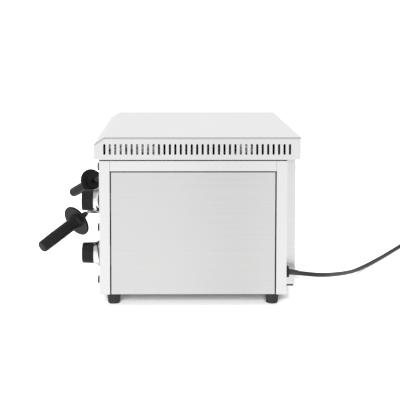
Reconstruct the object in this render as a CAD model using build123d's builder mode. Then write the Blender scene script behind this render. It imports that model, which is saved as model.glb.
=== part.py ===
"""Countertop infrared pizza oven with a pull-out wire rack, as separate pieces.

Frame: millimetres, +Z up, the open front faces -Y. The origin is on the table,
under the middle of the oven's overall box.
"""

import os
from math import cos, pi, radians, sin, tan

from build123d import *

os.makedirs("parts", exist_ok=True)

# Casing
SHEET = 1.0
CASE_W, CASE_D = 510.0, 346.5
CASE_X = 40.0  # the casing's middle; the left handle reaches further out than the right one
FRONT = -132.3
REAR = FRONT + CASE_D
FOOT_H = 22.4
CASE_TOP = 272.6
HALF_W = CASE_W / 2
FLANGE_FRONT, FLANGE_REAR = 19.5, 19.3  # the end panels' returns on the sides
PANEL_GAP = 2.4  # shadow gap round the inset side panels
PANEL_INSET = 2.0
RAIL_BOTTOM = 252.6
DECK_TOP = CASE_TOP - SHEET
PAN_TOP = FOOT_H + SHEET
PAN_LIP = 7.0

# Vented lid
LID_HALF_W = 260.0
LID_FRONT, LID_REAR = FRONT - 9.0, FRONT + 370.7
LID_BOTTOM, LID_TOP = 274.4, 315.6
CHAMFER_LOW = (LID_FRONT, 303.1)
CHAMFER_HIGH = (FRONT + 9.5, LID_TOP)
HEM = 3.4  # how far the top sheet folds down over the side bands
SLOT_COUNT, SLOT_PITCH, SLOT_W, SLOT_H = 35, 10.0, 4.0, 20.0
SLOT_Y, SLOT_Z = FRONT + 180.5, 293.7

# Rear cover, cord gland
COVER_X = (-165.0, 245.0)
COVER_D = 22.0
COVER_Z = (28.6, 272.4)
SPACER_R, SPACER_L, SPACER_Z = 11.7, 11.0, 45.5
GLAND_X, GLAND_Z = 270.0, 59.0
GLAND_NUT_R, GLAND_NUT_L = 10.7, 7.0
CORD_D = 8.4

# Chamber
ROOM_X = -5.0  # the chamber's middle
ROOM_HALF_W, ROOM_D = 174.0, 319.0
ROOM_FLOOR, ROOM_CEILING = 60.0, 240.0
MOUTH_HALF_W, MOUTH_Z = 170.0, (94.0, 218.0)
BULKHEAD_X = 190.0
TUBE_YS = [FRONT + 70, FRONT + 160, FRONT + 250]
TUBE_R, TUBE_HALF_L = 5.0, 184.0
TUBE_Z = (216.0, 102.0)
GUARD_Z = {"upper": 204.0, "lower": 114.0}

# Wire rack
RACK_Z, RACK_HALF_W = 151.0, 160.0
ROD_R, WIRE_R = 3.0, 1.5
RACK_BACK, RACK_FRONT = FRONT + 308.0, FRONT + 8.0
WIRE_COUNT = 13
RUN_CLEARANCE = 0.3
GUARD_R, GRIP_L = 31.2, 93.0  # guard disc, and grip length beyond it
# where each handle's guard disc is, and how far it turns outward and droops
HANDLES = {
    "right": ((217.0, -181.6, 145.2), 46.4, 23.8),
    "left": ((-227.0, -187.5, 149.9), -52.0, 23.5),
}

# Controls
CONTROL_X = 243.0
KNOB_Z = {"upper": 190.0, "lower": 89.4}
LAMP_Z = (254.5, 138.4, 37.7)  # power, upper heat, lower heat
KNOB_R = 20.0
BEZEL_L = 6.4
SHAFT_R = 3.0


def save(piece, name):
    piece.part.label = name
    export_step(piece.part, f"parts/{name}.step")


def block(x, y, z, mode=Mode.ADD):
    """A box from its three (low, high) ranges, in the part being built."""
    sizes = [high - low for low, high in (x, y, z)]
    with Locations([((x[0] + x[1]) / 2, (y[0] + y[1]) / 2, (z[0] + z[1]) / 2)]):
        Box(*sizes, mode=mode)


def rod(start, end, radius, mode=Mode.ADD):
    """A round bar or a hole between two points, in the part being built."""
    line = Vector(*end) - Vector(*start)
    with BuildSketch(Plane(origin=start, z_dir=line)) as section:
        Circle(radius)
    extrude(section.sketch, amount=line.length, mode=mode)


def wire_along(points, radii, radius):
    """A round wire bent through the points, in the part being built."""
    with BuildLine() as path:
        FilletPolyline(*points, radius=radii)
    with BuildSketch(Plane(origin=path.line @ 0, z_dir=path.line % 0)) as section:
        Circle(radius)
    sweep(section.sketch, path=path.line)


def around(centre, half):
    return centre - half, centre + half


# ---------------------------------------------------------------- casing
with BuildPart() as base_pan:
    block(around(CASE_X, HALF_W - 3), (FRONT + SHEET, REAR - SHEET), (FOOT_H, PAN_TOP))
    for y in ((FRONT + SHEET, FRONT + 2 * SHEET), (REAR - 2 * SHEET, REAR - SHEET)):
        block(around(CASE_X, HALF_W - 3), y, (PAN_TOP, PAN_TOP + PAN_LIP))
    for x in (around(CASE_X - HALF_W + 3.5, 0.5), around(CASE_X + HALF_W - 3.5, 0.5)):
        block(x, (FRONT + SHEET, REAR - SHEET), (PAN_TOP, PAN_TOP + PAN_LIP))
    FOOT_SPOTS = [(CASE_X + sx * 227, FRONT + y) for sx in (-1, 1) for y in (25.2, 322.1)]
    for x, y in FOOT_SPOTS:
        rod((x, y, FOOT_H), (x, y, PAN_TOP), 2.7, Mode.SUBTRACT)
save(base_pan, "base_pan")

with BuildPart() as feet:
    for x, y in FOOT_SPOTS:
        with BuildSketch(Plane(origin=(x, y, 0))):
            Circle(11.0)
        with BuildSketch(Plane(origin=(x, y, FOOT_H))):
            Circle(13.5)
        loft()
    fillet(feet.edges().group_by(Axis.Z)[0], 1.4)
    for x, y in FOOT_SPOTS:
        rod((x, y, 0), (x, y, 8), 6.5, Mode.SUBTRACT)
        rod((x, y, 8), (x, y, FOOT_H), 2.7, Mode.SUBTRACT)
save(feet, "feet")

with BuildPart() as foot_fasteners:
    for x, y in FOOT_SPOTS:
        rod((x, y, 4.6), (x, y, 8), 5.0)
        rod((x, y, 8), (x, y, 29), 2.5)
        with BuildSketch(Plane(origin=(x, y, 4.6))):
            RegularPolygon(2.0, 6)
        extrude(amount=2.0, mode=Mode.SUBTRACT)
        with BuildSketch(Plane(origin=(x, y, PAN_TOP))):
            RegularPolygon(4.6, 6)
            Circle(2.65, mode=Mode.SUBTRACT)
        extrude(amount=4.0)
save(foot_fasteners, "foot_fasteners")

TRAY_SLOT_Z = (ROOM_FLOOR, 84.0)
with BuildPart() as front_panel:
    block(around(CASE_X, HALF_W), (FRONT, FRONT + SHEET), (FOOT_H, CASE_TOP))
    for side in (-1, 1):
        edge = CASE_X + side * (HALF_W - SHEET / 2)
        block(around(edge, SHEET / 2), (FRONT + SHEET, FRONT + FLANGE_FRONT), (FOOT_H, CASE_TOP))
    fillet(front_panel.edges().filter_by(Axis.Z).group_by(Axis.Y)[0], 0.9)
    skin = (FRONT - 1, FRONT + SHEET + 1)
    block(around(ROOM_X, MOUTH_HALF_W), skin, MOUTH_Z, Mode.SUBTRACT)
    block(around(ROOM_X, MOUTH_HALF_W + 2), skin, TRAY_SLOT_Z, Mode.SUBTRACT)
    for z in KNOB_Z.values():
        rod((CONTROL_X, skin[0], z), (CONTROL_X, skin[1], z), 6.0, Mode.SUBTRACT)
    for z in LAMP_Z:
        rod((CONTROL_X, skin[0], z), (CONTROL_X, skin[1], z), 6.6, Mode.SUBTRACT)
save(front_panel, "front_panel")

with BuildPart() as rear_panel:
    block(around(CASE_X, HALF_W), (REAR - SHEET, REAR), (FOOT_H, CASE_TOP))
    for side in (-1, 1):
        edge = CASE_X + side * (HALF_W - SHEET / 2)
        block(around(edge, SHEET / 2), (REAR - FLANGE_REAR, REAR - SHEET), (FOOT_H, CASE_TOP))
    fillet(rear_panel.edges().filter_by(Axis.Z).group_by(Axis.Y)[-1], 0.9)
    rod((GLAND_X, REAR - 2, GLAND_Z), (GLAND_X, REAR + 1, GLAND_Z), 6.5, Mode.SUBTRACT)
save(rear_panel, "rear_panel")

PANEL_Y = (FRONT + FLANGE_FRONT + PANEL_GAP, REAR - FLANGE_REAR - PANEL_GAP)
with BuildPart() as side_rails:
    for side in (-1, 1):
        edge = CASE_X + side * (HALF_W - SHEET / 2)
        length = (FRONT + FLANGE_FRONT + 0.4, REAR - FLANGE_REAR - 0.4)
        block(around(edge, SHEET / 2), length, (RAIL_BOTTOM, CASE_TOP))
save(side_rails, "side_rails")

for side, name in ((1, "right"), (-1, "left")):
    with BuildPart() as side_panel:
        face = CASE_X + side * (HALF_W - PANEL_INSET)
        top = RAIL_BOTTOM - PANEL_GAP
        block(sorted((face, face - side * SHEET)), PANEL_Y, (FOOT_H, top))
        hem_x = sorted((face - side * SHEET, face - side * 10))
        for y in (PANEL_Y[0], PANEL_Y[1] - SHEET):
            block(hem_x, (y, y + SHEET), (PAN_TOP + 14, top))
        block(hem_x, PANEL_Y, (top - SHEET, top))
    save(side_panel, f"side_panel_{name}")

with BuildPart() as top_deck:
    block(around(CASE_X, HALF_W - SHEET), (FRONT + SHEET, REAR - SHEET), (DECK_TOP - 1, DECK_TOP))
    VENT_SPOTS = [(BULKHEAD_X + 20 + 20 * column, FRONT + 60 + 55 * row)
                  for column in range(4) for row in range(5)]
    for x, y in VENT_SPOTS:
        with BuildSketch(Plane(origin=(x, y, DECK_TOP - 1))):
            SlotOverall(40, 6, rotation=90)
        extrude(amount=SHEET, mode=Mode.SUBTRACT)
save(top_deck, "top_deck")

# ---------------------------------------------------------------- lid
CHAMFER_SLOPE = (CHAMFER_HIGH[1] - CHAMFER_LOW[1]) / (CHAMFER_HIGH[0] - CHAMFER_LOW[0])


def lid_outline(top_inset, end_inset, bottom):
    """The lid's side profile, its top and chamfer pulled in by one inset, its ends by another."""
    drop = top_inset * (1 + CHAMFER_SLOPE**2) ** 0.5
    front, rear, top = LID_FRONT + end_inset, LID_REAR - end_inset, LID_TOP - top_inset
    chamfer_front = CHAMFER_LOW[1] + CHAMFER_SLOPE * (front - LID_FRONT) - drop
    chamfer_top = CHAMFER_HIGH[0] + (top - LID_TOP + drop) / CHAMFER_SLOPE
    return [(front, bottom), (front, chamfer_front), (chamfer_top, top), (rear, top), (rear, bottom)]


def side_profile(points, x, mode=Mode.ADD):
    """A profile in Y and Z run between two X places, in the part being built."""
    with BuildSketch(Plane.YZ.offset(x[0])) as profile:
        with BuildLine():
            Polyline(*points, close=True)
        make_face()
    extrude(profile.sketch, amount=x[1] - x[0], mode=mode)


def near_x(edges, half_width, above):
    return [e for e in edges
            if abs(abs(e.center().X - CASE_X) - half_width) < 0.01 and e.center().Z > above]


EDGE_R = 3.0
with BuildPart() as lid_top:
    side_profile(lid_outline(0, 0, LID_BOTTOM), around(CASE_X, LID_HALF_W))
    fillet(near_x(lid_top.edges(), LID_HALF_W, 305), EDGE_R)
    hollow = lid_outline(SHEET, SHEET, LID_BOTTOM - 1)
    side_profile(hollow, around(CASE_X, LID_HALF_W - SHEET), Mode.SUBTRACT)
    fillet(near_x(lid_top.edges(), LID_HALF_W - SHEET, 305), EDGE_R - SHEET)
    for side in (-1, 1):
        wall_x = around(CASE_X + side * LID_HALF_W, SHEET)
        side_profile(lid_outline(HEM, -1, LID_BOTTOM - 1), wall_x, Mode.SUBTRACT)
save(lid_top, "lid_top")

for side, name in ((1, "right"), (-1, "left")):
    with BuildPart() as vent_band:
        middle = CASE_X + side * (LID_HALF_W - SHEET / 2)
        side_profile(lid_outline(HEM + 0.2, 0, LID_BOTTOM), around(middle, SHEET / 2))
        tab = around(middle - side * SHEET, SHEET / 2)
        block(tab, (FRONT + 14, LID_REAR - 6), (SLOT_Z + SLOT_H / 2 + 3, LID_TOP - EDGE_R))
        with BuildSketch(Plane.YZ.offset(middle - SHEET)):
            with Locations((SLOT_Y, SLOT_Z)):
                with GridLocations(SLOT_PITCH, 1, SLOT_COUNT, 1):
                    SlotOverall(SLOT_H, SLOT_W, rotation=90)
        extrude(amount=2 * SHEET, mode=Mode.SUBTRACT)
    save(vent_band, f"vent_band_{name}")

BRACKET_SPOTS = [(CASE_X + x, FRONT + y) for x in (-180, 180) for y in (165, 200)]
with BuildPart() as lid_brackets:
    for x, y in BRACKET_SPOTS:
        block(around(x, 14), (y, y + 12), (DECK_TOP, DECK_TOP + 1.5))
        block(around(x, 14), (y, y + 1.5), (DECK_TOP, LID_TOP - SHEET))
        block(around(x, 14), (y, y + 12), (LID_TOP - SHEET - 1.5, LID_TOP - SHEET))
save(lid_brackets, "lid_brackets")

BLANKET_Z = DECK_TOP + 0.3
with BuildPart() as foil_blanket:
    rolled = [(14, 0), (14, 29), (24, 36.4), (96, 36.4), (106, 23), (112, 5), (248, 5), (254, 25),
              (262, 36.4), (282, 36.4), (290, 8), (340, 5), (340, 0)]
    side_profile([(FRONT + y, BLANKET_Z + z) for y, z in rolled], around(CASE_X, HALF_W - 6))
    for x, y in BRACKET_SPOTS:
        block(around(x, 17), (y - 3, y + 15), (BLANKET_Z - 1, BLANKET_Z + 10), Mode.SUBTRACT)
save(foil_blanket, "foil_blanket")

# ---------------------------------------------------------------- rear
with BuildPart() as rear_cover:
    block(COVER_X, (REAR, REAR + COVER_D), COVER_Z)
    fillet(rear_cover.edges().filter_by(Axis.Z).group_by(Axis.Y)[-1], 2.0)
    inner_x = (COVER_X[0] + SHEET, COVER_X[1] - SHEET)
    inner_z = (COVER_Z[0] - 1, COVER_Z[1] - SHEET)
    block(inner_x, (REAR, REAR + COVER_D - SHEET), inner_z, Mode.SUBTRACT)
    COVER_SCREWS = [(x, z) for x in (COVER_X[0] + 14, COVER_X[1] - 14) for z in (80, 165, 250)]
    for x, z in COVER_SCREWS:
        rod((x, REAR + 15, z), (x, REAR + 25, z), 2.0, Mode.SUBTRACT)
    for z in (200, 212, 224, 236):
        with BuildSketch(Plane.XZ.offset(-REAR - COVER_D - 1)):
            with Locations((CASE_X, z)):
                with GridLocations(56, 1, 6, 1):
                    SlotOverall(44, 5)
        extrude(amount=4, mode=Mode.SUBTRACT)
save(rear_cover, "rear_cover")

with BuildPart() as cover_brackets:
    for x, z in COVER_SCREWS:
        block(around(x, 9), (REAR, REAR + 1.5), around(z, 9))
        block(around(x, 9), (REAR, REAR + COVER_D - SHEET), (z - 9, z - 7.5))
        block(around(x, 9), (REAR + COVER_D - SHEET - 1.5, REAR + COVER_D - SHEET), around(z, 9))
        rod((x, REAR + 15, z), (x, REAR + 25, z), 1.9, Mode.SUBTRACT)
save(cover_brackets, "cover_brackets")

with BuildPart() as cover_screws:
    for x, z in COVER_SCREWS:
        with BuildSketch(Plane(origin=(x, REAR + COVER_D, z), z_dir=(0, 1, 0))):
            Circle(3.6)
        extrude(amount=1.9)
        rod((x, REAR + COVER_D - 9, z), (x, REAR + COVER_D, z), 1.75)
    fillet(cover_screws.edges().group_by(Axis.Y)[-1], 1.4)
    for x, z in COVER_SCREWS:
        tip = REAR + COVER_D + 0.7
        block(around(x, 1.7), (tip, tip + 2), around(z, 0.3), Mode.SUBTRACT)
        block(around(x, 0.3), (tip, tip + 2), around(z, 1.7), Mode.SUBTRACT)
save(cover_screws, "cover_screws")

with BuildPart() as duct_seal:
    block((COVER_X[0] + 5, COVER_X[1] - 5), (REAR, REAR + COVER_D - 2.5), (24.0, COVER_Z[0]))
save(duct_seal, "duct_seal")

SPACER_XS = (COVER_X[0] + 25, COVER_X[1] - 25)
with BuildPart() as wall_spacers:
    for x in SPACER_XS:
        back = REAR + COVER_D
        rod((x, back, SPACER_Z), (x, back + SPACER_L, SPACER_Z), SPACER_R)
    fillet(wall_spacers.edges().group_by(Axis.Y)[-1], 1.5)
    for x in SPACER_XS:
        rod((x, back + 7, SPACER_Z), (x, back + SPACER_L, SPACER_Z), 5.0, Mode.SUBTRACT)
save(wall_spacers, "wall_spacers")

# The strain relief runs from inside the gland nut to here and droops a little.
RELIEF_START, CORD_START = REAR + 4.0, REAR + 24.5
CORD_EXIT_Z = GLAND_Z - 2.6
with BuildPart() as cable_gland:
    rod((GLAND_X, REAR - 12, GLAND_Z), (GLAND_X, REAR, GLAND_Z), 6.3)
    rod((GLAND_X, REAR, GLAND_Z), (GLAND_X, REAR + GLAND_NUT_L, GLAND_Z), GLAND_NUT_R)
    fillet(cable_gland.edges().group_by(Axis.Y)[-1], 1.5)
    with BuildSketch(Plane(origin=(GLAND_X, REAR + 1.5, GLAND_Z), z_dir=(0, 1, 0))):
        with PolarLocations(GLAND_NUT_R + 0.6, 16):
            Circle(1.0)
    extrude(amount=GLAND_NUT_L, mode=Mode.SUBTRACT)
    rod((GLAND_X, RELIEF_START, GLAND_Z), (GLAND_X, REAR + 8, GLAND_Z), 6.0, Mode.SUBTRACT)
save(cable_gland, "cable_gland")

with BuildPart() as gland_locknut:
    with BuildSketch(Plane(origin=(GLAND_X, REAR - SHEET - 5, GLAND_Z), z_dir=(0, 1, 0))):
        RegularPolygon(10.5, 6)
        Circle(6.4, mode=Mode.SUBTRACT)
    extrude(amount=5.0)
save(gland_locknut, "gland_locknut")

with BuildPart() as strain_relief:
    rings = ((RELIEF_START, 0.0, 5.7), (REAR + 8, 0.2, 5.5), (REAR + 16, 1.2, 5.1), (CORD_START, 2.6, 4.8))
    for y, drop, radius in rings:
        with BuildSketch(Plane(origin=(GLAND_X, y, GLAND_Z - drop), z_dir=(0, 1, 0))):
            Circle(radius)
    loft()
save(strain_relief, "strain_relief")

# ---------------------------------------------------------------- chamber
ROOM_Y = (FRONT + SHEET, FRONT + ROOM_D)
TUBE_SPOTS = [(y, z) for z in TUBE_Z for y in TUBE_YS]
BULB_Z = {"upper": 190.0, "lower": 130.0}
BULB_Y = FRONT + 150.0
CAPILLARY_R = 0.9
with BuildPart() as chamber_liner:
    block(around(ROOM_X, ROOM_HALF_W + SHEET), (ROOM_Y[0], ROOM_Y[1] + SHEET),
          (ROOM_FLOOR - SHEET, ROOM_CEILING + SHEET))
    block(around(ROOM_X, ROOM_HALF_W + 10), (ROOM_Y[0], ROOM_Y[0] + SHEET),
          (ROOM_FLOOR - 9, ROOM_CEILING + 10))
    block(around(ROOM_X, ROOM_HALF_W), (ROOM_Y[0] - 1, ROOM_Y[1]), (ROOM_FLOOR, ROOM_CEILING),
          Mode.SUBTRACT)
    for y, z in TUBE_SPOTS:
        rod((ROOM_X - 190, y, z), (ROOM_X + 190, y, z), TUBE_R + 0.6, Mode.SUBTRACT)
    for z in BULB_Z.values():
        rod((ROOM_X + 165, BULB_Y, z), (ROOM_X + 190, BULB_Y, z), 2.0, Mode.SUBTRACT)
save(chamber_liner, "chamber_liner")

with BuildPart() as liner_stands:
    for x in (ROOM_X - 120, ROOM_X + 120):
        for z in ((PAN_TOP, PAN_TOP + 1.5), (ROOM_FLOOR - SHEET - 1.5, ROOM_FLOOR - SHEET)):
            block((x, x + 18), (FRONT + 30, FRONT + 290), z)
        block((x, x + 1.5), (FRONT + 30, FRONT + 290), (PAN_TOP, ROOM_FLOOR - SHEET))
save(liner_stands, "liner_stands")

with BuildPart() as ceiling_insulation:
    slab_z = (ROOM_CEILING + SHEET + 0.2, DECK_TOP - SHEET - 0.5)
    block(around(ROOM_X, ROOM_HALF_W), (FRONT + 6, FRONT + ROOM_D), slab_z)
save(ceiling_insulation, "ceiling_insulation")

with BuildPart() as control_bulkhead:
    depth = (FRONT + 2 * SHEET, REAR - 2 * SHEET)
    block((BULKHEAD_X, BULKHEAD_X + SHEET), depth, (PAN_TOP, DECK_TOP - SHEET))
    for z in BULB_Z.values():
        rod((BULKHEAD_X - 1, BULB_Y, z), (BULKHEAD_X + 2, BULB_Y, z), 3.0, Mode.SUBTRACT)
save(control_bulkhead, "control_bulkhead")

with BuildPart() as upper_reflector:
    trough = 0.8
    low, high = ROOM_CEILING - 14, ROOM_CEILING - 4
    ridge = [(FRONT + 12, high)]
    for y in TUBE_YS:
        ridge += [(y - 32, low), (y - 18, high), (y + 18, high), (y + 32, low)]
    ridge += [(FRONT + ROOM_D - 12, high)]
    profile = ridge + [(y, z + trough) for y, z in reversed(ridge)]
    side_profile(profile, around(ROOM_X, ROOM_HALF_W))
save(upper_reflector, "upper_reflector")

with BuildPart() as quartz_tubes:
    for y, z in TUBE_SPOTS:
        rod((ROOM_X - TUBE_HALF_L, y, z), (ROOM_X + TUBE_HALF_L, y, z), TUBE_R)
        rod((ROOM_X - TUBE_HALF_L, y, z), (ROOM_X + TUBE_HALF_L, y, z), TUBE_R - 1, Mode.SUBTRACT)
save(quartz_tubes, "quartz_tubes")

with BuildPart() as filaments:
    for y, z in TUBE_SPOTS:
        rod((ROOM_X - TUBE_HALF_L, y, z), (ROOM_X + TUBE_HALF_L, y, z), 2.6)
save(filaments, "filaments")

with BuildPart() as tube_caps:
    for side in (-1, 1):
        wall = ROOM_X + side * (ROOM_HALF_W + SHEET)
        tube_end = ROOM_X + side * TUBE_HALF_L
        for y, z in TUBE_SPOTS:
            rod((wall, y, z), (wall + side * 15, y, z), 8.5)
            rod((wall, y, z), (tube_end, y, z), TUBE_R + 0.1, Mode.SUBTRACT)
            notch_x = sorted((wall + side * 11, wall + side * 15))
            block(notch_x, around(y, 9), around(z, 1.5), Mode.SUBTRACT)
save(tube_caps, "tube_caps")

for row, z in GUARD_Z.items():
    with BuildPart() as heater_guard:
        for y in (FRONT + 26, FRONT + 294):
            rod((ROOM_X - ROOM_HALF_W, y, z), (ROOM_X + ROOM_HALF_W, y, z), 2.0)
        for step in range(-3, 4):
            x = ROOM_X + 45 * step
            rod((x, FRONT + 22, z), (x, FRONT + 298, z), 1.5)
    save(heater_guard, f"{row}_heater_guard")

RAIL_GAP = ROD_R + RUN_CLEARANCE
with BuildPart() as rack_rails:
    span = (FRONT + 3, FRONT + 316)
    for side in (-1, 1):
        wall = ROOM_X + side * ROOM_HALF_W
        block(sorted((wall, wall - side)), span, around(RACK_Z, RAIL_GAP + SHEET))
        for z in around(RACK_Z, RAIL_GAP + SHEET / 2):
            block(sorted((wall, wall - side * 22)), span, around(z, SHEET / 2))
save(rack_rails, "rack_rails")

# ---------------------------------------------------------------- wire rack


def handle_axis(splay, droop):
    """The handle's direction: outward by splay and down by droop, in degrees."""
    flat = cos(radians(droop))
    return Vector(flat * sin(radians(splay)), -flat * cos(radians(splay)), -sin(radians(droop)))


WIRE_STEP = 2 * RACK_HALF_W / (WIRE_COUNT + 1)
with BuildPart() as wire_rack:
    for (name, (disc, splay, droop)), side in zip(HANDLES.items(), (1, -1)):
        axis = handle_axis(splay, droop)
        x = ROOM_X + side * RACK_HALF_W
        shoulder, tang = Vector(*disc) - 33 * axis, Vector(*disc) + 60 * axis
        arm = [(x, RACK_BACK, RACK_Z), (x, FRONT - 13.7, RACK_Z), tuple(shoulder), tuple(tang)]
        wire_along(arm, [13.0, 16.0], ROD_R)
    for y in (RACK_BACK, RACK_FRONT):
        rod((ROOM_X - RACK_HALF_W, y, RACK_Z), (ROOM_X + RACK_HALF_W, y, RACK_Z), ROD_R)
    for y in (FRONT + 108, FRONT + 208):
        rod((ROOM_X - RACK_HALF_W, y, RACK_Z), (ROOM_X + RACK_HALF_W, y, RACK_Z), 2.5)
    for step in range(WIRE_COUNT):
        x = ROOM_X - RACK_HALF_W + WIRE_STEP * (step + 1)
        z = RACK_Z + ROD_R + WIRE_R - 0.6
        rod((x, RACK_FRONT - 3, z), (x, RACK_BACK + 3, z), WIRE_R)
save(wire_rack, "wire_rack")

for name, (disc, splay, droop) in HANDLES.items():
    axis = handle_axis(splay, droop)
    along = Plane(origin=disc, x_dir=axis, z_dir=Vector(0, 0, 1).cross(axis))
    spin = Axis(disc, axis)
    with BuildPart() as handle_grip:
        with BuildSketch(along):
            with BuildLine():
                Polyline((-9, 3.15), (-9, 17), (-2.5, 17.5), (-2.5, GUARD_R), (2.5, GUARD_R),
                         (2.5, 16.5), (7, 13.2), (16, 12), (66, 12), (89, 11.4), (GRIP_L, 10.8),
                         (GRIP_L, 0), (62, 0), (62, 3.15), close=True)
            make_face()
        revolve(axis=spin)
        grip_end = [e for e in handle_grip.edges() if (e.center() - Vector(*disc)).dot(axis) > GRIP_L - 1]
        fillet(grip_end, 2.5)
        rim = [e for e in handle_grip.edges().filter_by(GeomType.CIRCLE) if e.radius > GUARD_R - 0.5]
        fillet(rim, 1.9)
        collar = [e for e in handle_grip.edges().filter_by(GeomType.CIRCLE)
                  if abs(e.radius - 17) < 0.01]
        fillet(collar, 1.5)
    save(handle_grip, f"handle_grip_{name}")

    with BuildPart() as handle_ferrule:
        with BuildSketch(along):
            with BuildLine():
                Polyline((-27, 3.15), (-27, 5.0), (-22, 5.8), (-9, 6.5), (-9, 3.15), close=True)
            make_face()
        revolve(axis=spin)
    save(handle_ferrule, f"handle_ferrule_{name}")

# ---------------------------------------------------------------- crumb tray
TRAY_HALF_W = 170.5
TRAY_Z = (ROOM_FLOOR + RUN_CLEARANCE, 80.0)
PLATE_Y = (FRONT - 1.6, FRONT - 0.6)
with BuildPart() as crumb_tray:
    block(around(ROOM_X, TRAY_HALF_W), (PLATE_Y[1], FRONT + 310), TRAY_Z)
    block(around(ROOM_X, TRAY_HALF_W - SHEET), (PLATE_Y[1], FRONT + 309),
          (TRAY_Z[0] + SHEET, TRAY_Z[1] + 1), Mode.SUBTRACT)
    block(around(ROOM_X, TRAY_HALF_W + 7), PLATE_Y, (ROOM_FLOOR - 6, 88.0))
    block(around(ROOM_X, 60), (FRONT - 16, PLATE_Y[0]), (71, 72))
    block(around(ROOM_X, 60), (FRONT - 16, FRONT - 15), (65, 71))
save(crumb_tray, "crumb_tray")

# ---------------------------------------------------------------- controls
with BuildPart() as terminal_block:
    block((225, 245), (120, 170), (PAN_TOP, PAN_TOP + 20))
    for y in (128, 145, 162):
        rod((235, y, PAN_TOP + 12), (235, y, PAN_TOP + 21), 3.0, Mode.SUBTRACT)
save(terminal_block, "terminal_block")

with BuildPart() as lamp_bezels:
    for z in LAMP_Z:
        ring = Plane(origin=(CONTROL_X, FRONT, z), z_dir=(0, -1, 0))
        with BuildSketch(ring):
            Circle(7.75)
        extrude(amount=BEZEL_L)
    fillet(lamp_bezels.edges().group_by(Axis.Y)[0], 0.9)
    for z in LAMP_Z:
        rod((CONTROL_X, FRONT, z), (CONTROL_X, FRONT + 24, z), 6.5)
        rod((CONTROL_X, FRONT - BEZEL_L, z), (CONTROL_X, FRONT + 20, z), 5.6, Mode.SUBTRACT)
save(lamp_bezels, "lamp_bezels")

with BuildPart() as lamp_lenses:
    for z in LAMP_Z:
        rod((CONTROL_X, FRONT + 18, z), (CONTROL_X, FRONT - 7, z), 5.5)
    fillet(lamp_lenses.edges().group_by(Axis.Y)[0], 3.6)
save(lamp_lenses, "lamp_lenses")

SHAFT_BACK = FRONT + 24.0
for row, z in KNOB_Z.items():
    face_on = Plane(origin=(CONTROL_X, FRONT, z), z_dir=(0, -1, 0))
    outline = Plane(origin=(CONTROL_X, 0, z), x_dir=(0, -1, 0), z_dir=(1, 0, 0))
    turning = Axis((CONTROL_X, 0, z), (0, -1, 0))

    with BuildPart() as dial_plate:
        with BuildSketch(face_on):
            Circle(28.5)
            Circle(6.0, mode=Mode.SUBTRACT)
        extrude(amount=2.5)
        fillet(dial_plate.edges().group_by(Axis.Y)[0].filter_by(lambda e: e.radius > 10), 0.8)
    save(dial_plate, f"{row}_dial_plate")

    with BuildPart() as knob_skirt:
        with BuildSketch(outline):
            with BuildLine():
                Line((-FRONT + 3.0, 25.8), (-FRONT + 3.0, 27.0))
                Spline((-FRONT + 3.0, 27.0), (-FRONT + 5.2, 24.2), (-FRONT + 9.0, 21.3),
                       (-FRONT + 13.7, 20.2))
                Line((-FRONT + 13.7, 20.2), (-FRONT + 13.7, 8.0))
                Line((-FRONT + 13.7, 8.0), (-FRONT + 12.5, 8.0))
                Line((-FRONT + 12.5, 8.0), (-FRONT + 12.5, 18.4))
                Spline((-FRONT + 12.5, 18.4), (-FRONT + 8.2, 20.2), (-FRONT + 5.0, 23.0),
                       (-FRONT + 3.0, 25.8))
            make_face()
        revolve(axis=turning)
    save(knob_skirt, f"{row}_knob_skirt")

    with BuildPart() as knob:
        with BuildSketch(Plane(origin=(CONTROL_X, FRONT - 13.7, z), z_dir=(0, -1, 0))):
            Circle(KNOB_R)
        extrude(amount=22.3, taper=1.5)
        fillet(knob.edges().group_by(Axis.Y)[0], 2.4)
        with BuildSketch(Plane(origin=(CONTROL_X, FRONT - 16.5, z), z_dir=(0, -1, 0))):
            with PolarLocations(KNOB_R + 0.9, 30):
                Circle(1.5)
        extrude(amount=25, mode=Mode.SUBTRACT)
        rod((CONTROL_X, FRONT - 13.7, z), (CONTROL_X, FRONT - 28, z), SHAFT_R + 0.02, Mode.SUBTRACT)
    save(knob, f"{row}_knob")

    with BuildPart() as knob_shaft:
        rod((CONTROL_X, SHAFT_BACK, z), (CONTROL_X, FRONT - 27.5, z), SHAFT_R)
    save(knob_shaft, f"{row}_knob_shaft")

    with BuildPart() as thermostat:
        rod((CONTROL_X, FRONT + SHEET, z), (CONTROL_X, FRONT + 12, z), 14.0)
        block(around(CONTROL_X, 21), (FRONT + 12, FRONT + 40), around(z, 18))
        for dz in (-10, 10):
            block(around(CONTROL_X + 8, 3.2), (FRONT + 40, FRONT + 50), around(z + dz, 0.4))
        rod((CONTROL_X, FRONT, z), (CONTROL_X, SHAFT_BACK + 0.5, z), SHAFT_R + 0.06, Mode.SUBTRACT)
    save(thermostat, f"{row}_thermostat")

with BuildPart() as sensors:
    for row, z in KNOB_Z.items():
        bulb_x, bulb_z = ROOM_X + 166.0, BULB_Z[row]
        rod((bulb_x, BULB_Y - 4, bulb_z), (bulb_x, BULB_Y + 86, bulb_z), 2.6)
        route = [(bulb_x, BULB_Y, bulb_z), (BULKHEAD_X + 12, BULB_Y, bulb_z),
                 (CONTROL_X - 8, FRONT + 80, (bulb_z + z) / 2), (CONTROL_X - 8, FRONT + 40.6, z)]
        wire_along(route, [8.0, 12.0], CAPILLARY_R)
save(sensors, "sensors")

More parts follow.
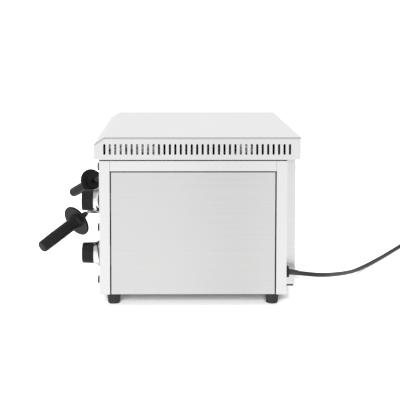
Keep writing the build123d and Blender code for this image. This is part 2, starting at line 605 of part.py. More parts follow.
# ---------------------------------------------------------------- power cord
# It leaves the gland, comes down to the table and ends in a neat coil with its plug.
CORD_ROUTE = [
    (270.0, CORD_START, CORD_EXIT_Z),
    (270.0, REAR + 42.0, 54.2),
    (263.0, REAR + 61.0, 50.9),
    (245.5, REAR + 81.0, 46.3),
    (205.4, REAR + 103.0, 37.0),
    (138.0, REAR + 136.5, 22.6),
    (53.0, REAR + 173.0, 6.4),
    (-34.0, REAR + 228.5, 4.2),
    (-132.0, REAR + 288.0, 4.2),
    (-223.3, REAR + 341.7, 4.2),
]
CORD_R = CORD_D / 2


def route_radii(points):
    """The largest tangent arc that each corner's two runs allow."""
    radii = []
    for a, b, c in zip(points, points[1:], points[2:]):
        before, after = Vector(*b) - Vector(*a), Vector(*c) - Vector(*b)
        turn = radians(before.get_angle(after))
        radii.append(0.45 * min(before.length, after.length) / tan(turn / 2))
    return radii


CORD_RADII = route_radii(CORD_ROUTE)
print("cord corner radii, in diameters:", [round(r / CORD_D, 1) for r in CORD_RADII])
with BuildPart() as power_cord:
    wire_along(CORD_ROUTE, CORD_RADII, CORD_R)
with BuildLine() as cord_line:
    FilletPolyline(*CORD_ROUTE, radius=CORD_RADII)
cord_length = sum(edge.length for edge in cord_line.edges())
print("cord tube length", round(cord_length, 1),
      "volume over section times length", power_cord.part.volume / (pi * CORD_R**2 * cord_length))
save(power_cord, "power_cord")

# The coil's turns lie at this middle radius, a cord's width either side of it, two layers high.
COIL_R, COIL_LAYERS_H = 50.4, 17.2
tangent = Vector(*CORD_ROUTE[-1]) - Vector(*CORD_ROUTE[-2])
heading = Vector(tangent.X, tangent.Y, 0).normalized()
coil_centre = Vector(*CORD_ROUTE[-1]) + Vector(heading.Y, -heading.X, 0) * (COIL_R + CORD_R)
with BuildPart() as cord_coil:
    with BuildSketch(Plane(origin=(coil_centre.X, coil_centre.Y, 0))):
        Circle(COIL_R + CORD_D + 0.4)
        Circle(COIL_R - CORD_D - 0.4, mode=Mode.SUBTRACT)
    extrude(amount=COIL_LAYERS_H)
save(cord_coil, "cord_coil")

PLUG_R = 19.0
PLUG_Z = PLUG_R + 0.1
tail_y = coil_centre.Y + COIL_R
tail_start = (coil_centre.X + 28, tail_y, 15.6)
plug_entry = (coil_centre.X + 62, tail_y, PLUG_Z)
with BuildPart() as cord_tail:
    rod(tail_start, plug_entry, CORD_R)
save(cord_tail, "cord_tail")

with BuildPart() as mains_plug:
    with BuildSketch(Plane(origin=plug_entry, x_dir=(1, 0, 0), z_dir=(0, -1, 0))):
        with BuildLine():
            Polyline((0, 0), (0, 5.6), (22, 7.4), (24, 12.0), (38, PLUG_R - 1), (44, PLUG_R),
                     (60, PLUG_R), (60, 0), close=True)
        make_face()
    revolve(axis=Axis(plug_entry, (1, 0, 0)))
    fillet(mains_plug.edges().filter_by(GeomType.CIRCLE).group_by(Axis.X)[-1], 1.5)
save(mains_plug, "mains_plug")

with BuildPart() as plug_pins:
    pin_root = plug_entry[0] + 60
    for y in around(tail_y, 9.5):
        rod((pin_root, y, PLUG_Z), (pin_root + 19, y, PLUG_Z), 2.4)
    fillet(plug_pins.edges().group_by(Axis.X)[-1], 1.2)
save(plug_pins, "plug_pins")
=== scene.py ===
"""A countertop infrared pizza oven in a studio: steel, foil, phenolic handles and a mains cord."""

from math import cos, e, hypot, pi, radians, sin

import bmesh
import bpy
from mathutils import Matrix, Vector, noise

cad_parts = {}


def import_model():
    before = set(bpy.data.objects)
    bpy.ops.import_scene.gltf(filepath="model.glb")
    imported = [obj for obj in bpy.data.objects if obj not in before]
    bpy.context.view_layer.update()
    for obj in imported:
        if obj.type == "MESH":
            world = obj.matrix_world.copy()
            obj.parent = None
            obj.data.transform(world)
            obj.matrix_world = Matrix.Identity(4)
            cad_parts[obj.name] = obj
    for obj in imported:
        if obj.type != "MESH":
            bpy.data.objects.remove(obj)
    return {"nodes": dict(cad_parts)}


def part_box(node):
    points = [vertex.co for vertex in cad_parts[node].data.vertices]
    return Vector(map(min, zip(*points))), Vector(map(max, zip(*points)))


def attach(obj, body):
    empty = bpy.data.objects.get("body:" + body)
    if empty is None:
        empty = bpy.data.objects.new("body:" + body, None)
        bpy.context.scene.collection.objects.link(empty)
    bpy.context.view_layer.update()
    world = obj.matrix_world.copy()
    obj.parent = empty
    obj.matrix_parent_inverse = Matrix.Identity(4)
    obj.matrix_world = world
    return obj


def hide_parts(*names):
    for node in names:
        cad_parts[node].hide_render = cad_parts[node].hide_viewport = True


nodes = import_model()["nodes"]
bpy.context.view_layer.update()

# ---------------------------------------------------------------- camera
# It stands at the oven's right hand side, a little above it and almost square on,
# and looks slightly down with no roll.
camera_pitch, camera_yaw = radians(3.958), radians(0.264)
look = Vector((-cos(camera_pitch) * cos(camera_yaw), cos(camera_pitch) * sin(camera_yaw), -sin(camera_pitch)))
camera = bpy.data.objects.new("camera", bpy.data.cameras.new("camera"))
camera.data.sensor_width = 36.0
camera.data.lens = 89.856
camera.data.shift_x, camera.data.shift_y = 0.054, -0.27
camera.location = (2.1161, 0.0054, 0.5248)
camera.rotation_mode = "QUATERNION"
camera.rotation_quaternion = look.to_track_quat("-Z", "Y")
camera.data.clip_start, camera.data.clip_end = 0.05, 40.0
bpy.context.scene.collection.objects.link(camera)
bpy.context.scene.camera = camera

# ---------------------------------------------------------------- mains cord
# A black rubber cord leaves the gland at the back, comes down to the table in one easy curve and
# ends in a neat coil two layers high, with its moulded round plug beside it.


class Signal:
    """A socket of a finish; sums and products of signals add Math nodes."""

    def __init__(self, finish, socket):
        self.finish, self.socket = finish, socket

    def maths(self, operation, first, second):
        return self.finish.node("Math", {"operation": operation}, {0: first, 1: second})

    def __add__(self, other):
        return self.maths("ADD", self, other)

    def __sub__(self, other):
        return self.maths("SUBTRACT", self, other)

    def __rsub__(self, other):
        return self.maths("SUBTRACT", other, self)

    def __mul__(self, other):
        return self.maths("MULTIPLY", self, other)

    def __rpow__(self, other):
        return self.maths("POWER", other, self)

    def __gt__(self, other):
        return self.maths("GREATER_THAN", self, other)

    def __lt__(self, other):
        return self.maths("LESS_THAN", self, other)

    __radd__, __rmul__ = __add__, __mul__


class Finish:
    """One material. Settings that are the same all over sit on its shader's own sockets."""

    def __init__(self, name, **settings):
        self.material = bpy.data.materials.new(name)
        self.material.use_nodes = True
        self.tree = self.material.node_tree
        self.shader = self.tree.nodes["Principled BSDF"]
        for socket, value in settings.items():
            self.shader.inputs[socket.replace("_", " ")].default_value = value
        self.place = self.node("TexCoord", output="Object")

    def node(self, kind, settings=(), sockets=(), output=0):
        made = self.tree.nodes.new("ShaderNode" + kind)
        for key, value in dict(settings).items():
            setattr(made, key, value)
        for key, value in dict(sockets).items():
            self.feed(made.inputs[key], value)
        return Signal(self, made.outputs[output])

    def feed(self, socket, value):
        if isinstance(value, Signal):
            self.tree.links.new(value.socket, socket)
        else:
            socket.default_value = value

    def mottle(self, scale, detail=3.0, stretch=(1.0, 1.0, 1.0)):
        """Noise in the oven's own frame; scale is its cells to the metre."""
        stretched = self.node("VectorMath", {"operation": "MULTIPLY"}, {0: self.place, 1: stretch})
        settings = {"Vector": stretched, "Scale": scale, "Detail": detail}
        return self.node("TexNoise", {}, settings, "Fac")

    def between(self, factor, first, second):
        return self.node("Mix", {"data_type": "RGBA"}, {0: factor, 6: (*first, 1.0), 7: (*second, 1.0)}, 2)

    def look(self, colour, roughness, height=None, depth=0.0002, strength=1.0):
        """Feeds what changes over the surface: colour, roughness and a height that becomes a bump."""
        self.feed(self.shader.inputs["Base Color"], colour)
        self.feed(self.shader.inputs["Roughness"], roughness)
        if height is not None:
            bump = {"Strength": strength, "Distance": depth, "Height": height}
            self.feed(self.shader.inputs["Normal"], self.node("Bump", {}, bump))

    def paint(self, *names):
        for name in names:
            mesh = nodes[name].data
            mesh.materials.clear()
            mesh.materials.append(self.material)


def piece(name, mesh, finish, body):
    """A new piece of the oven, shown with a finish and riding on a body."""
    made = bpy.data.objects.new(name, mesh)
    mesh.materials.append(finish.material)
    bpy.context.scene.collection.objects.link(made)
    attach(made, body)
    return made


cord_rubber = Finish("cord_rubber", Specular_IOR_Level=0.35)
cord_dust = cord_rubber.mottle(900, 4)
cord_rubber.look(
    cord_rubber.between(cord_dust, (0.006, 0.006, 0.006), (0.016, 0.016, 0.017)),
    0.42 + 0.2 * cord_dust, cord_dust, 0.0002, 0.35,
)
CORD_D = 0.0084
CORD_EXIT = (0.270, 0.2387, 0.0564)
cord_points = [
    CORD_EXIT, (0.270, 0.2562, 0.0542), (0.263, 0.2752, 0.0509), (0.2455, 0.2952, 0.0463),
    (0.2054, 0.3172, 0.037), (0.138, 0.3507, 0.0226), (0.053, 0.3872, 0.0064), (-0.034, 0.4427, 0.0042),
    (-0.132, 0.5022, 0.0042), (-0.2233, 0.5559, 0.0042),
]
coil_x, coil_y, coil_turns, coil_start = -0.1956, 0.603, 2.415, radians(239.5)
COIL_R, COIL_STEPS = 0.0546, 34


def ease(t, begin, end):
    """0 before begin, 1 after end, and a smooth change between."""
    share = min(max((t - begin) / (end - begin), 0.0), 1.0)
    return share * share * (3 - 2 * share)


for step in range(1, COIL_STEPS + 1):
    t = coil_turns * step / COIL_STEPS
    radius = COIL_R - CORD_D * ease(t, 0.7, 1.0) + CORD_D / 2 * ease(t, 1.5, 1.75)
    angle = coil_start - 2 * pi * t
    height = CORD_D / 2 + 0.0086 * ease(t, 1.4, 1.62)
    cord_points.append((coil_x + radius * cos(angle), coil_y + radius * sin(angle), height))
tail_y = coil_y + COIL_R - CORD_D / 2
cord_points += [(coil_x + 0.014, tail_y, 0.0137), (coil_x + 0.029, tail_y, 0.0158),
                (coil_x + 0.046, tail_y, 0.0182), (coil_x + 0.0625, tail_y, 0.0191)]


def smooth_curve(name, points, radius):
    """A round wire on one smooth line through the route's control points."""
    curve = bpy.data.curves.new(name, "CURVE")
    curve.dimensions = "3D"
    curve.bevel_depth, curve.bevel_resolution, curve.resolution_u = radius, 5, 10
    curve.use_fill_caps = True
    line = curve.splines.new("NURBS")
    line.points.add(len(points) - 1)
    for control, point in zip(line.points, points):
        control.co = (*point, 1.0)
    line.order_u = 3
    line.use_endpoint_u = True
    return curve


cord_line = smooth_curve("mains_cord", cord_points, CORD_D / 2)
cord = piece("mains_cord", cord_line, cord_rubber, "oven")
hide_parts("power_cord", "cord_coil", "cord_tail")

plug_rubber = Finish("plug_rubber", Specular_IOR_Level=0.4)
plug_grain = plug_rubber.mottle(1600, 3)
plug_rubber.look(
    plug_rubber.between(plug_grain, (0.008, 0.008, 0.008), (0.02, 0.02, 0.021)),
    0.38 + 0.15 * plug_grain, plug_grain, 0.0003, 0.3,
)
plug_rubber.paint("mains_plug", "strain_relief")

pin_metal = Finish("pin_metal", Metallic=1.0)
pin_wear = pin_metal.mottle(400, 4, (0.3, 1, 1))
pin_metal.look(pin_metal.between(pin_wear, (0.52, 0.5, 0.44), (0.72, 0.7, 0.64)), 0.2 + 0.25 * pin_wear)
pin_metal.paint("plug_pins")

# ---------------------------------------------------------------- cable gland
# A black nylon gland with a ribbed nut holds the cord's tapered sleeve in the rear panel;
# its locknut is tightened from inside.
gland_nylon = Finish("gland_nylon", Specular_IOR_Level=0.35)
gland_grain = gland_nylon.mottle(1200, 3)
gland_nylon.look(
    gland_nylon.between(gland_grain, (0.003, 0.003, 0.003), (0.01, 0.01, 0.01)),
    0.4 + 0.2 * gland_grain, gland_grain, 0.0002, 0.3,
)
gland_nylon.paint("cable_gland", "gland_locknut")

# ---------------------------------------------------------------- feet and base
# Four tapered rubber feet are screwed up into the base pan, each with a nut above the sheet.
foot_rubber = Finish("foot_rubber", Specular_IOR_Level=0.3)
foot_grain = foot_rubber.mottle(700, 5)
foot_dust = foot_rubber.mottle(60, 2)
foot_rubber.look(
    foot_rubber.between(foot_dust, (0.007, 0.007, 0.007), (0.02, 0.019, 0.018)),
    0.55 + 0.25 * foot_grain, foot_grain, 0.0004, 0.4,
)
foot_rubber.paint("feet", "duct_seal")

zinc = Finish("zinc", Metallic=1.0)
zinc_patches = zinc.mottle(260, 4)
zinc.look(zinc.between(zinc_patches, (0.45, 0.45, 0.44), (0.66, 0.66, 0.63)), 0.25 + 0.25 * zinc_patches)
zinc.paint("foot_fasteners", "cover_screws", "upper_thermostat", "lower_thermostat")

# ---------------------------------------------------------------- casing
# Folded stainless sheets, brushed along their length: front and rear panels that return on to the
# sides, rails below the lid and inset side panels that hang behind a narrow shadow gap. A painted
# shadow line runs along their top edge just under the lid.
# Painted shade: the near-black colour given to faces inside the lid and to the shadow line under it.
PAINTED_SHADE = (0.035, 0.034, 0.033, 1.0)
lid_low, lid_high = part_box("lid_top")
lid_middle = tuple((lid_low + lid_high) / 2)
deck_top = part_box("top_deck")[1].z


def brushed(name, stretch, dark, light, roughness=0.22, spread=0.9):
    """Stainless sheet brushed along the axes where stretch is small, with painted shade on faces inside the
    lid and a painted shadow line at its seam.
    """
    sheet = Finish(name, Metallic=1.0, Anisotropic=spread, Anisotropic_Rotation=0.25)
    fine = sheet.mottle(1.0, 2.0, stretch)
    soft = sheet.mottle(1.0, 3.0, tuple(0.22 * s for s in stretch))
    cloud = sheet.mottle(6.0, 2.0)
    grain = 0.55 * fine + 0.45 * soft
    shade = 0.75 * grain + 0.25 * cloud
    from_middle = sheet.node("VectorMath", {"operation": "SUBTRACT"}, {0: sheet.place, 1: lid_middle})
    normal = sheet.node("NewGeometry", output="True Normal")
    outward = sheet.node("VectorMath", {"operation": "DOT_PRODUCT"}, {0: from_middle, 1: normal}, "Value")
    height = sheet.node("SeparateXYZ", {}, {0: sheet.place}, "Z")
    # Painted shade: inward faces above the lid's lower edge and the band between the deck and the lid are
    # coloured dark instead of being shaded by light.
    under_lid_shade = (outward < 0.0) * (height > lid_low.z)
    seam_shadow = (height > deck_top) * (height < lid_low.z)
    unshaded = sheet.between(shade, dark, light)
    sheet.look(
        sheet.node("Mix", {"data_type": "RGBA"}, {0: under_lid_shade + seam_shadow, 6: unshaded, 7: PAINTED_SHADE}, 2),
        (roughness - 0.06) + 0.09 * grain + 0.04 * cloud,
        fine, 0.00004, 0.35,
    )
    return sheet


side_steel = brushed("side_steel", (9.0, 9.0, 1500.0), (0.62, 0.62, 0.617), (0.75, 0.75, 0.747))
side_steel.paint("side_panel_left", "side_panel_right", "crumb_tray")
frame_steel = brushed("frame_steel", (9.0, 9.0, 1500.0), (0.75, 0.75, 0.748), (0.88, 0.88, 0.878), 0.24)
frame_steel.paint("front_panel", "rear_panel", "side_rails")
pan_steel = Finish("pan_steel", Metallic=1.0)
pan_scale = pan_steel.mottle(14, 5)
pan_steel.look(
    pan_steel.between(pan_scale, (0.05, 0.05, 0.052), (0.12, 0.118, 0.115)), 0.45 + 0.2 * pan_scale,
)
pan_steel.paint("base_pan", "top_deck")

# ---------------------------------------------------------------- lid
# One brushed sheet, chamfered at the front and folded down by a small hem at its ends, over two
# side bands pressed with upright vent slots. Brackets hold it off the deck. Near-black glass fibre
# strips hang inside it beyond the slots at either end as painted shade, so the slots look shaded,
# and the sheet's inner faces are painted dark as shade too.
lid_steel = brushed("lid_steel", (1400.0, 9.0, 1400.0), (0.80, 0.80, 0.797), (0.89, 0.89, 0.887), 0.24, 0.0)
lid_steel.paint("lid_top")
band_steel = brushed("band_steel", (9.0, 9.0, 1500.0), (0.73, 0.73, 0.727), (0.86, 0.86, 0.857), 0.26)
band_steel.paint("vent_band_left", "vent_band_right")

bracket_steel = Finish("bracket_steel", Metallic=1.0)
spangle_cells = {"Vector": bracket_steel.place, "Scale": 140.0}
bracket_spangle = bracket_steel.node("TexVoronoi", {}, spangle_cells, "Color")
bracket_value = bracket_steel.node("SeparateColor", {}, {0: bracket_spangle})
bracket_steel.look(
    bracket_steel.between(bracket_value, (0.34, 0.35, 0.36), (0.52, 0.53, 0.54)),
    0.35 + 0.15 * bracket_value,
)
bracket_steel.paint("lid_brackets", "cover_brackets", "liner_stands", "control_bulkhead", "rack_rails")

# Painted shade: near-black strips hang behind the vent slots so the slots look shaded.
shade_strip_glass = Finish("shade_strip_glass", Specular_IOR_Level=0.2)
strip_weave = shade_strip_glass.mottle(900, 2)
shade_strip_glass.look(
    shade_strip_glass.between(strip_weave, (0.018, 0.017, 0.016), (0.05, 0.048, 0.045)),
    0.75 + 0.2 * strip_weave, strip_weave, 0.0004, 0.6,
)
STRIP_THICK, STRIP_DIP, STRIP_END_GAP = 0.0016, 0.001, 0.003
strips = bmesh.new()
strip_low, strip_long = lid_low.z - STRIP_DIP, lid_high.x - lid_low.x - 2 * STRIP_END_GAP
front_strip = (lid_low.y + 0.0152, lid_high.z - 0.005)
rear_strip = (lid_high.y - 0.0155, lid_high.z - 0.0014)
for strip_y, strip_top in (front_strip, rear_strip):
    strip_size = Matrix.Diagonal((strip_long, STRIP_THICK, strip_top - strip_low, 1.0))
    strip_middle = Matrix.Translation((lid_middle[0], strip_y, (strip_low + strip_top) / 2))
    bmesh.ops.create_cube(strips, size=1.0, matrix=strip_middle @ strip_size)
strip_mesh = bpy.data.meshes.new("shade_strips")
strips.to_mesh(strip_mesh)
strips.free()
piece("shade_strips", strip_mesh, shade_strip_glass, "oven")

# ---------------------------------------------------------------- foil blanket
# A foil-faced blanket is folded over the chamber's ceiling; its creased rolls stand up behind the
# front vent slots and again near the back.
foil = Finish("foil", Metallic=1.0)
foil_tone = foil.node("MapRange", {}, {0: foil.mottle(150, 4), 1: 0.38, 2: 0.64})
foil.look(
    foil.between(foil_tone, (0.07, 0.07, 0.072), (0.92, 0.92, 0.92)),
    0.16 + 0.2 * foil_tone, foil.mottle(420, 5), 0.0012, 0.8,
)
blanket_low, blanket_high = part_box("foil_blanket")
front_y = blanket_low.y - 0.014
rolled = [(0.0175, 0.001), (0.0185, 0.0295), (0.026, 0.0354), (0.06, 0.0359), (0.094, 0.0354), (0.105, 0.02),
          (0.112, 0.0045), (0.18, 0.0045), (0.247, 0.0045), (0.254, 0.022), (0.263, 0.0325),
          (0.281, 0.0325), (0.2885, 0.008), (0.31, 0.0045), (0.339, 0.0045), (0.3395, 0.001)]


def fold_point(share):
    """A point of the fold's profile, by its share of the way along it."""
    runs = [hypot(b[0] - a[0], b[1] - a[1]) for a, b in zip(rolled, rolled[1:])]
    left = share * sum(runs)
    for (a, b), run in zip(zip(rolled, rolled[1:]), runs):
        if left <= run:
            return a[0] + (b[0] - a[0]) * left / run, a[1] + (b[1] - a[1]) * left / run
        left -= run
    return rolled[-1]


def crease(point, size):
    """Sharp random folds: the distance to the nearest of scattered points, at two scales."""
    near = noise.voronoi(point * size)[0]
    fine = noise.voronoi(point * size * 2.3)[0]
    return (near[1] - near[0]) + 0.5 * (fine[1] - fine[0])


foil_mesh = bmesh.new()
FOIL_ROWS, FOIL_COLUMNS = 170, 190
DENT, WAVE, TUCK = 0.0034, 0.0022, 0.0022  # how deep the creases, the wavering and the tucked ends go
FOIL_EDGE = 0.001
foil_rows = []
for row in range(FOIL_ROWS + 1):
    fold_y, fold_z = fold_point(row / FOIL_ROWS)
    line = []
    for column in range(FOIL_COLUMNS + 1):
        foil_width = blanket_high.x - blanket_low.x - 2 * FOIL_EDGE
        x = blanket_low.x + FOIL_EDGE + foil_width * column / FOIL_COLUMNS
        at = Vector((x, front_y + fold_y, fold_z))
        z = blanket_low.z + max(fold_z - DENT * crease(at, 55.0), 0.0006)
        y = at.y + WAVE * noise.noise(at * 70.0)
        y = min(max(y, blanket_low.y + 0.0003), blanket_high.y - 0.0003)
        end = min(column, FOIL_COLUMNS - column)
        tuck = TUCK * crease(at + Vector((5, 0, 0)), 60.0) if end < 2 else 0.0
        inward = tuck if column < FOIL_COLUMNS / 2 else -tuck
        line.append(foil_mesh.verts.new((x + inward, y, z)))
    foil_rows.append(line)
for row, following in zip(foil_rows, foil_rows[1:]):
    for column in range(FOIL_COLUMNS):
        foil_mesh.faces.new((row[column], row[column + 1], following[column + 1], following[column]))
for end, order in ((0, 1), (FOIL_COLUMNS, -1)):
    outer = [row[end] for row in foil_rows]
    lower = [foil_mesh.verts.new((v.co.x, v.co.y, blanket_low.z + 0.0002)) for v in outer]
    for a, b, c, d in zip(outer, outer[1:], lower[1:], lower):
        foil_mesh.faces.new((a, b, c, d)[::order])
blanket = bpy.data.meshes.new("foil_folds")
foil_mesh.to_mesh(blanket)
foil_mesh.free()
blanket.shade_flat()
foil_folds = piece("foil_folds", blanket, foil, "oven")
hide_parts("foil_blanket")

# ---------------------------------------------------------------- rear cover
# A shallow steel box with louvres is screwed over the rear wiring. Below it is a black rubber
# strip, and two grey plastic bosses keep the oven off the wall.
cover_steel = brushed("cover_steel", (9.0, 9.0, 1500.0), (0.66, 0.66, 0.655), (0.84, 0.84, 0.835), 0.26)
cover_steel.paint("rear_cover")

boss_plastic = Finish("boss_plastic", Specular_IOR_Level=0.4)
boss_grain = boss_plastic.mottle(500, 3)
boss_plastic.look(
    boss_plastic.between(boss_grain, (0.48, 0.48, 0.47), (0.58, 0.58, 0.57)),
    0.42 + 0.16 * boss_grain, boss_grain, 0.0002, 0.2,
)
boss_plastic.paint("wall_spacers")

# ---------------------------------------------------------------- chamber
# An aluminised steel liner, a bright folded reflector above, and a slab of ceramic wool over it.
# Use has tinted the liner near the heaters.
liner_steel = Finish("liner_steel", Metallic=1.0)
liner_spangle = liner_steel.mottle(170, 5)
liner_heat = liner_steel.mottle(7, 3)
liner_tone = 0.6 * liner_spangle + 0.4 * liner_heat
liner_steel.look(
    liner_steel.between(liner_tone, (0.36, 0.34, 0.31), (0.66, 0.65, 0.63)),
    0.34 + 0.2 * liner_spangle, liner_spangle, 0.0001, 0.3,
)
liner_steel.paint("chamber_liner")

reflector_metal = Finish("reflector_metal", Metallic=1.0)
reflector_rub = reflector_metal.mottle(1.0, 3, (12.0, 500.0, 500.0))
reflector_metal.look(
    reflector_metal.between(reflector_rub, (0.72, 0.72, 0.71), (0.9, 0.9, 0.89)), 0.12 + 0.14 * reflector_rub,
)
reflector_metal.paint("upper_reflector")

wool = Finish("wool", Sheen_Weight=0.3)
wool_fibre = wool.mottle(240, 6, (1, 1, 3))
wool.look(
    wool.between(wool_fibre, (0.6, 0.57, 0.5), (0.82, 0.8, 0.74)), 0.9, wool_fibre, 0.0015, 0.8,
)
wool.paint("ceiling_insulation")

# ---------------------------------------------------------------- heaters
# Three quartz tubes above and three below, each with a wound resistance wire, held by steatite
# caps outside the liner. Wire guards keep food off them.
quartz = Finish("quartz", Roughness=0.05, IOR=1.46, Transmission_Weight=0.92)
quartz_haze = quartz.mottle(300, 3)
quartz.look(quartz.between(quartz_haze, (0.9, 0.9, 0.89), (1.0, 1.0, 1.0)), 0.04 + 0.12 * quartz_haze)
quartz.paint("quartz_tubes")

steatite = Finish("steatite", Specular_IOR_Level=0.5)
steatite_speck = steatite.mottle(500, 4)
steatite.look(
    steatite.between(steatite_speck, (0.68, 0.65, 0.58), (0.86, 0.84, 0.78)),
    0.35 + 0.3 * steatite_speck, steatite_speck, 0.0003, 0.3,
)
steatite.paint("tube_caps", "terminal_block")

coil_wire = Finish("coil_wire", Metallic=1.0)
coil_scale = coil_wire.mottle(600, 3)
coil_wire.look(coil_wire.between(coil_scale, (0.2, 0.16, 0.13), (0.42, 0.36, 0.3)), 0.4 + 0.25 * coil_scale)
HELIX_TURNS, HELIX_STEPS, HELIX_R, WIRE_R = 74, 10, 0.0021, 0.00045
wires_low, wires_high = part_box("filaments")
inset = HELIX_R + 0.0005
helix_ys = [wires_low.y + inset, (wires_low.y + wires_high.y) / 2, wires_high.y - inset]
helix_curve = bpy.data.curves.new("heater_wires", "CURVE")
helix_curve.dimensions = "3D"
helix_curve.bevel_depth, helix_curve.bevel_resolution, helix_curve.resolution_u = WIRE_R, 0, 2
for y in helix_ys:
    for z in (wires_low.z + inset, wires_high.z - inset):
        line = helix_curve.splines.new("POLY")
        count = HELIX_TURNS * HELIX_STEPS
        line.points.add(count)
        for step, control in enumerate(line.points):
            angle = 2 * pi * step / HELIX_STEPS
            x = wires_low.x + 0.002 + (wires_high.x - wires_low.x - 0.004) * step / count
            control.co = (x, y + HELIX_R * cos(angle), z + HELIX_R * sin(angle), 1.0)
heater_wires = piece("heater_wires", helix_curve, coil_wire, "oven")
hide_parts("filaments")

# ---------------------------------------------------------------- rack
# Bright steel rods, bent and spot welded: a frame, cross rods and thin bars along it. Each side
# rod runs out through the mouth and bends outward into a handle.
rod_steel = Finish("rod_steel", Metallic=1.0)
rod_draw = rod_steel.mottle(1.0, 3, (300.0, 40.0, 300.0))
rod_steel.look(rod_steel.between(rod_draw, (0.5, 0.49, 0.47), (0.8, 0.8, 0.79)), 0.14 + 0.18 * rod_draw)
rod_steel.paint("wire_rack", "upper_heater_guard", "lower_heater_guard", "upper_knob_shaft",
                "lower_knob_shaft", "sensors")

# ---------------------------------------------------------------- handles
# Moulded black phenolic grips, each with a round guard disc against the heat, threaded on to the
# rod behind a steel ferrule that is painted dark as a painted reflection of the black disc.
# Painted reflection: the ferrules are coloured near black, standing in for the black guard disc reflected in
# them.
ferrule_reflection_steel = Finish("ferrule_reflection_steel", Metallic=1.0)
ferrule_tint = ferrule_reflection_steel.mottle(120, 3)
ferrule_reflection_steel.look(
    ferrule_reflection_steel.between(ferrule_tint, (0.04, 0.04, 0.042), (0.14, 0.13, 0.12)), 0.22 + 0.2 * ferrule_tint,
)
ferrule_reflection_steel.paint("handle_ferrule_left", "handle_ferrule_right")

phenolic = Finish("phenolic", Specular_IOR_Level=0.17)
phenolic_grain = phenolic.mottle(800, 4)
phenolic_rub = phenolic.mottle(35, 3)
phenolic.look(
    phenolic.between(phenolic_rub, (0.0025, 0.0025, 0.0026), (0.007, 0.007, 0.007)),
    0.3 + 0.14 * phenolic_rub, phenolic_grain, 0.0002, 0.3,
)
phenolic.paint("handle_grip_left", "handle_grip_right")

# ---------------------------------------------------------------- controls
# Two fluted phenolic knobs on chromed flares over black plates, each with a white pointer line and
# a printed scale round it, and three pilot lamps in black bezels. The flares carry a painted
# reflection: they are coloured dark away from their axes.
phenolic.paint("upper_knob", "lower_knob", "lamp_bezels")

chrome = Finish("chrome", Metallic=1.0)
chrome_film = chrome.mottle(150, 3)
chrome_height = chrome.node("SeparateXYZ", {}, {0: chrome.place}, "Z")
from_axes = []
for level in ("upper", "lower"):
    axis_z = sum(corner.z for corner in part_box(f"{level}_knob_skirt")) / 2
    from_axes.append(chrome.node("Math", {"operation": "ABSOLUTE"}, {0: chrome_height - axis_z}))
off_axis = chrome.node("Math", {"operation": "MINIMUM"}, dict(enumerate(from_axes)))
# Painted reflection: away from each knob's axis the chrome is coloured near black, standing in for dark
# surroundings reflected in it.
dark_reflection = chrome.node("MapRange", {"interpolation_type": "SMOOTHSTEP"}, {0: off_axis, 1: 0.013, 2: 0.022})
bright = chrome.between(chrome_film, (0.80, 0.80, 0.80), (0.93, 0.93, 0.93))
chrome.look(
    chrome.node("Mix", {"data_type": "RGBA"}, {0: dark_reflection, 6: bright, 7: (0.08, 0.08, 0.08, 1)}, 2),
    0.05 + 0.08 * chrome_film,
)
chrome.paint("upper_knob_skirt", "lower_knob_skirt")

dial_black = Finish("dial_black", Specular_IOR_Level=0.35)
dial_turning = dial_black.mottle(600, 3)
dial_black.look(
    dial_black.between(dial_turning, (0.003, 0.003, 0.003), (0.008, 0.008, 0.008)), 0.3 + 0.15 * dial_turning,
)
dial_black.paint("upper_dial_plate", "lower_dial_plate")

lens_amber = Finish("lens_amber", IOR=1.5, Transmission_Weight=0.35, Coat_Weight=0.6)
lens_depth = lens_amber.mottle(160, 2)
lens_amber.look(
    lens_amber.between(lens_depth, (0.05, 0.014, 0.004), (0.10, 0.03, 0.008)), 0.1 + 0.1 * lens_depth,
)
lens_amber.paint("lamp_lenses")

print_ink = Finish("print_ink", Specular_IOR_Level=0.3)
ink_wear = print_ink.mottle(700, 4)
print_ink.look(print_ink.between(ink_wear, (0.012, 0.012, 0.012), (0.03, 0.03, 0.03)), 0.5 + 0.2 * ink_wear)
pointer_white = Finish("pointer_white", Specular_IOR_Level=0.4)
pointer_wear = pointer_white.mottle(900, 4)
pointer_white.look(
    pointer_white.between(pointer_wear, (0.62, 0.62, 0.6), (0.84, 0.84, 0.82)), 0.45 + 0.2 * pointer_wear,
)


def bar(mesh, centre, size, turn=0.0):
    """A small printed or inlaid bar in the plane of the front, turned about the control's axis."""
    made = bmesh.ops.create_cube(mesh, size=1.0)["verts"]
    bmesh.ops.scale(mesh, verts=made, vec=size)
    if turn:
        bmesh.ops.rotate(mesh, verts=made, matrix=Matrix.Rotation(turn, 3, "Y"), cent=(0, 0, 0))
    bmesh.ops.translate(mesh, verts=made, vec=centre)


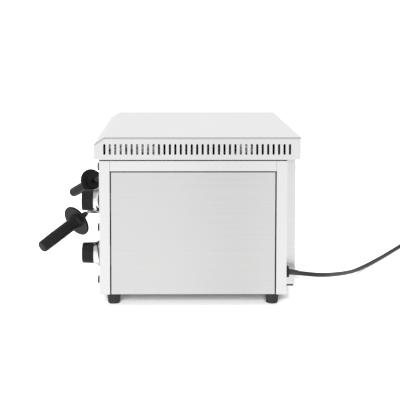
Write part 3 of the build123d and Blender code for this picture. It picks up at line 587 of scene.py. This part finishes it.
SCALE_MARKS, SCALE_STEP = ["0", "50", "100", "150", "200", "250", "300"], radians(45.0)
MARK_R, LABEL_R, LABEL_H = 0.0312, 0.0378, 0.0062
for level, body in (("upper", "knob_upper"), ("lower", "knob_lower")):
    low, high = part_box(f"{level}_knob")
    axis_x, axis_z, face_y = (low.x + high.x) / 2, (low.z + high.z) / 2, low.y
    pointer = bmesh.new()
    bar(pointer, (axis_x, face_y + 0.0003, axis_z + 0.011), (0.0016, 0.0012, 0.013))
    bmesh.ops.bevel(pointer, geom=pointer.edges, offset=0.0003, segments=2, affect="EDGES")
    pointer_mesh = bpy.data.meshes.new(f"{level}_pointer")
    pointer.to_mesh(pointer_mesh)
    pointer.free()
    piece(f"{level}_pointer", pointer_mesh, pointer_white, body)

    panel_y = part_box("front_panel")[0].y - 0.00006
    printed = bmesh.new()
    for mark, label in enumerate(SCALE_MARKS):
        turn = SCALE_STEP * mark
        out = Vector((sin(turn), 0.0, cos(turn)))
        at = Vector((axis_x, panel_y, axis_z)) + MARK_R * out
        bar(printed, at, (0.0008, 0.00016, 0.0034), turn)
        text = bpy.data.curves.new("scale_text", "FONT")
        text.body, text.size, text.extrude = label, LABEL_H, 0.00008
        text.align_x, text.align_y = "CENTER", "CENTER"
        writer = bpy.data.objects.new("scale_text", text)
        flat = bpy.data.meshes.new_from_object(writer)
        place = Matrix.Translation(Vector((axis_x, panel_y, axis_z)) + LABEL_R * out)
        flat.transform(place @ Matrix.Rotation(pi / 2, 4, "X"))
        printed.from_mesh(flat)
        bpy.data.objects.remove(writer)
        bpy.data.meshes.remove(flat)
    printed_mesh = bpy.data.meshes.new(f"{level}_scale")
    printed.to_mesh(printed_mesh)
    printed.free()
    piece(f"{level}_scale", printed_mesh, print_ink, "oven")

# ---------------------------------------------------------------- studio
# A plain white table in a white room. One soft light hangs over the oven, a wide one over the table
# behind it and a low one stands on its right. The lights are not seen in the steel, only the room is.
table_white = Finish("table_white", Specular_IOR_Level=0.15)
table_tone = table_white.mottle(3, 2)
table_white.look(
    table_white.between(table_tone, (0.93, 0.93, 0.93), (0.95, 0.95, 0.95)), 0.7 + 0.1 * table_tone,
)
table = bpy.data.meshes.new("table")
table.from_pydata([(-2.4, -3.4, 0), (4.6, -3.4, 0), (4.6, 3.4, 0), (-2.4, 3.4, 0)], [], [(0, 1, 2, 3)])
table.materials.append(table_white.material)
floor = bpy.data.objects.new("table", table)
bpy.context.scene.collection.objects.link(floor)
floor.visible_glossy = False


class Surround(Finish):
    """The white studio round the oven, as light by direction, with a soft grey gap in it."""

    def __init__(self, name):
        self.world = bpy.data.worlds.new(name)
        self.world.use_nodes = True
        self.tree = self.world.node_tree
        self.shader = self.tree.nodes["Background"]
        self.place = self.node("TexCoord", output="Generated")


studio = Surround("studio")
heading = studio.node("SeparateXYZ", {}, {0: studio.place}, "Y")
height = studio.node("SeparateXYZ", {}, {0: studio.place}, "Z")
side = studio.node("SeparateXYZ", {}, {0: studio.place}, "X")
GAP_HEADING, GAP_SHARPNESS = 0.058, 42.0
off_gap = (heading - GAP_HEADING) * GAP_SHARPNESS
gap = e ** (-1.0 * off_gap * off_gap) * (side > 0.0)
below = studio.node("Clamp", {}, {0: height, 1: -0.3, 2: 0.0})
dimming = {0: height, 1: 0.22, 2: 0.55, 3: 0.0, 4: 0.45}
ceiling = studio.node("MapRange", {"interpolation_type": "SMOOTHSTEP"}, dimming)
level = 0.99 - 0.22 * gap - 0.75 * below - ceiling
seen = studio.node("LightPath", output="Is Camera Ray")
shade = studio.node("CombineColor", {}, {0: level, 1: level, 2: level})
white = studio.node("Mix", {"data_type": "RGBA"}, {0: seen, 6: shade, 7: (1.1, 1.1, 1.1, 1.0)}, 2)
studio.feed(studio.shader.inputs["Color"], white)
bpy.context.scene.world = studio.world
bpy.context.scene.view_settings.view_transform = "Standard"


def softbox(name, place, aim, size, power):
    """A rectangular lamp that lights the scene but is not seen, itself or in a reflection."""
    light = bpy.data.lights.new(name, "AREA")
    light.shape, light.size, light.size_y, light.energy = "RECTANGLE", size[0], size[1], power
    lamp = bpy.data.objects.new(name, light)
    lamp.location = place
    lamp.rotation_mode = "QUATERNION"
    lamp.rotation_quaternion = (Vector(aim) - Vector(place)).to_track_quat("-Z", "Y")
    lamp.visible_glossy = lamp.visible_camera = False
    bpy.context.scene.collection.objects.link(lamp)


softbox("overhead", (0.5, -0.5, 2.4), (0.1, -0.1, 0.2), (1.1, 1.1), 42.0)
softbox("far_top", (-1.9, 0.0, 3.0), (-1.2, 0.0, 0.0), (5.0, 6.0), 300.0)
softbox("near_side", (3.4, -0.3, 1.2), (0.2, 0.0, 0.05), (2.8, 1.4), 260.0)
